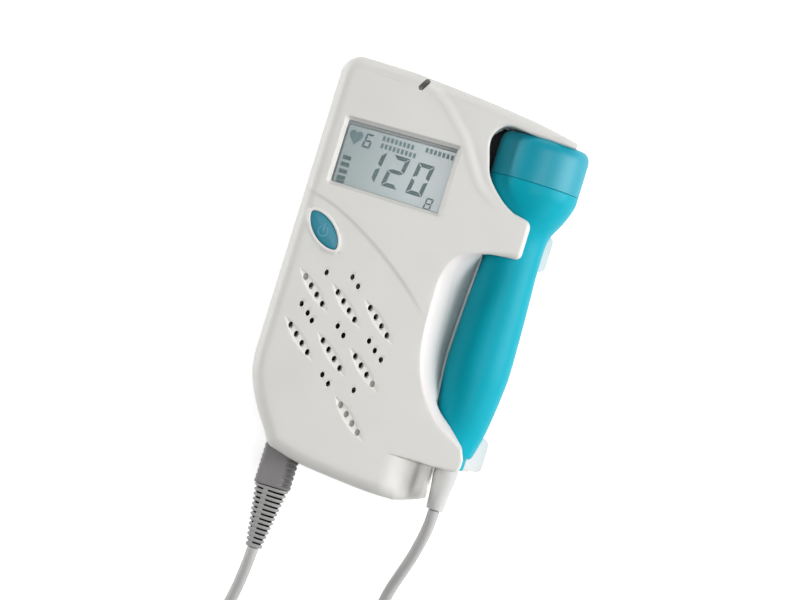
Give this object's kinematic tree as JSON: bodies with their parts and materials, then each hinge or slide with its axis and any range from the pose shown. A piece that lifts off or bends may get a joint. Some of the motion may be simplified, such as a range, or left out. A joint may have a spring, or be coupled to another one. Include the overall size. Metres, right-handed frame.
{
  "type": "fetal doppler monitor",
  "caption": "Pocket fetal doppler monitor with a display, a power button and sound holes, its corded probe clipped in a side bay and the cord plugged into its foot.",
  "frame": {"origin": "centre of the unit with its clipped probe, on the surface that the back rests on", "axes": "+X across the unit towards the probe, +Y along it towards the top edge, +Z out of the front face"},
  "size_m": [0.0911, 0.2589, 0.0337],
  "materials": {
    "shell": "fine satin moulding, warm white",
    "probe_plastic": "satin moulding, teal",
    "face_plastic": "smooth",
    "button": "satin moulding, blue",
    "dark_plastic": "satin",
    "smoked_plastic": "smoked light pipe",
    "milky_plastic": "diffusing",
    "black_plastic": "matt",
    "window": "clear, hard coated",
    "lcd": "reflective liquid crystal panel",
    "board": "solder mask",
    "steel": "plated",
    "cell": "printed sleeve, plain",
    "foam": "closed-cell foam",
    "plug_rubber": "matt overmould, dark grey",
    "cord_rubber": "satin sheath, light grey",
    "tie_fabric": "hook-and-loop tape"
  },
  "bodies": {
    "case": {"front_shell": "shell", "rear_shell": "shell", "battery_1": "cell", "battery_2": "cell", "battery_3": "cell", "battery_contact_1": "steel", "battery_contact_2": "steel", "display_window": "window", "display_frame": "dark_plastic", "lcd_panel": "lcd", "lcd_backlight": "milky_plastic", "main_board": "board", "control_chip": "black_plastic", "sound_chip": "black_plastic", "power_switch": "black_plastic", "indicator_lens": "smoked_plastic", "indicator_lamp": "milky_plastic", "speaker_gasket": "foam", "speaker_frame": "steel", "speaker_cone": "black_plastic", "speaker_magnet": "steel", "case_screw_1": "steel", "case_screw_2": "steel", "case_screw_3": "steel", "case_screw_4": "steel", "cord_socket": "black_plastic", "probe_cord": "cord_rubber", "plug_cord": "cord_rubber", "cord_coil": "cord_rubber", "coil_tie": "tie_fabric"},
    "probe": {"probe_body": "probe_plastic", "probe_cap": "probe_plastic", "acoustic_face": "face_plastic", "crystal_1": "steel", "crystal_2": "steel", "crystal_backing": "foam", "probe_board": "board", "cord_boot": "cord_rubber"},
    "plug": {"plug_nose": "steel", "plug_body": "plug_rubber", "plug_relief": "plug_rubber"},
    "button": {"power_button": "button"},
    "door": {"battery_door": "shell"}
  },
  "joints": [
    {"name": "probe_release", "type": "slide", "parent": "case", "child": "probe", "axis": [1, 0, 0], "range_m": [0, 0.04], "deforming": ["probe_cord"]},
    {"name": "plug_pull", "type": "slide", "parent": "case", "child": "plug", "axis": [0, -1, 0], "range_m": [0, 0.017], "deforming": ["plug_cord"]},
    {"name": "power_press", "type": "slide", "parent": "case", "child": "button", "axis": [0, 0, -1], "range_m": [0, 0.0008], "stiffness_N_per_m": 500, "springref_m": -0.002},
    {"name": "battery_door_tilt", "type": "hinge", "parent": "case", "child": "door", "pos_m": [-0.019, -0.0392, 0], "axis": [-1, 0, 0], "range_deg": [0, 70]}
  ]
}
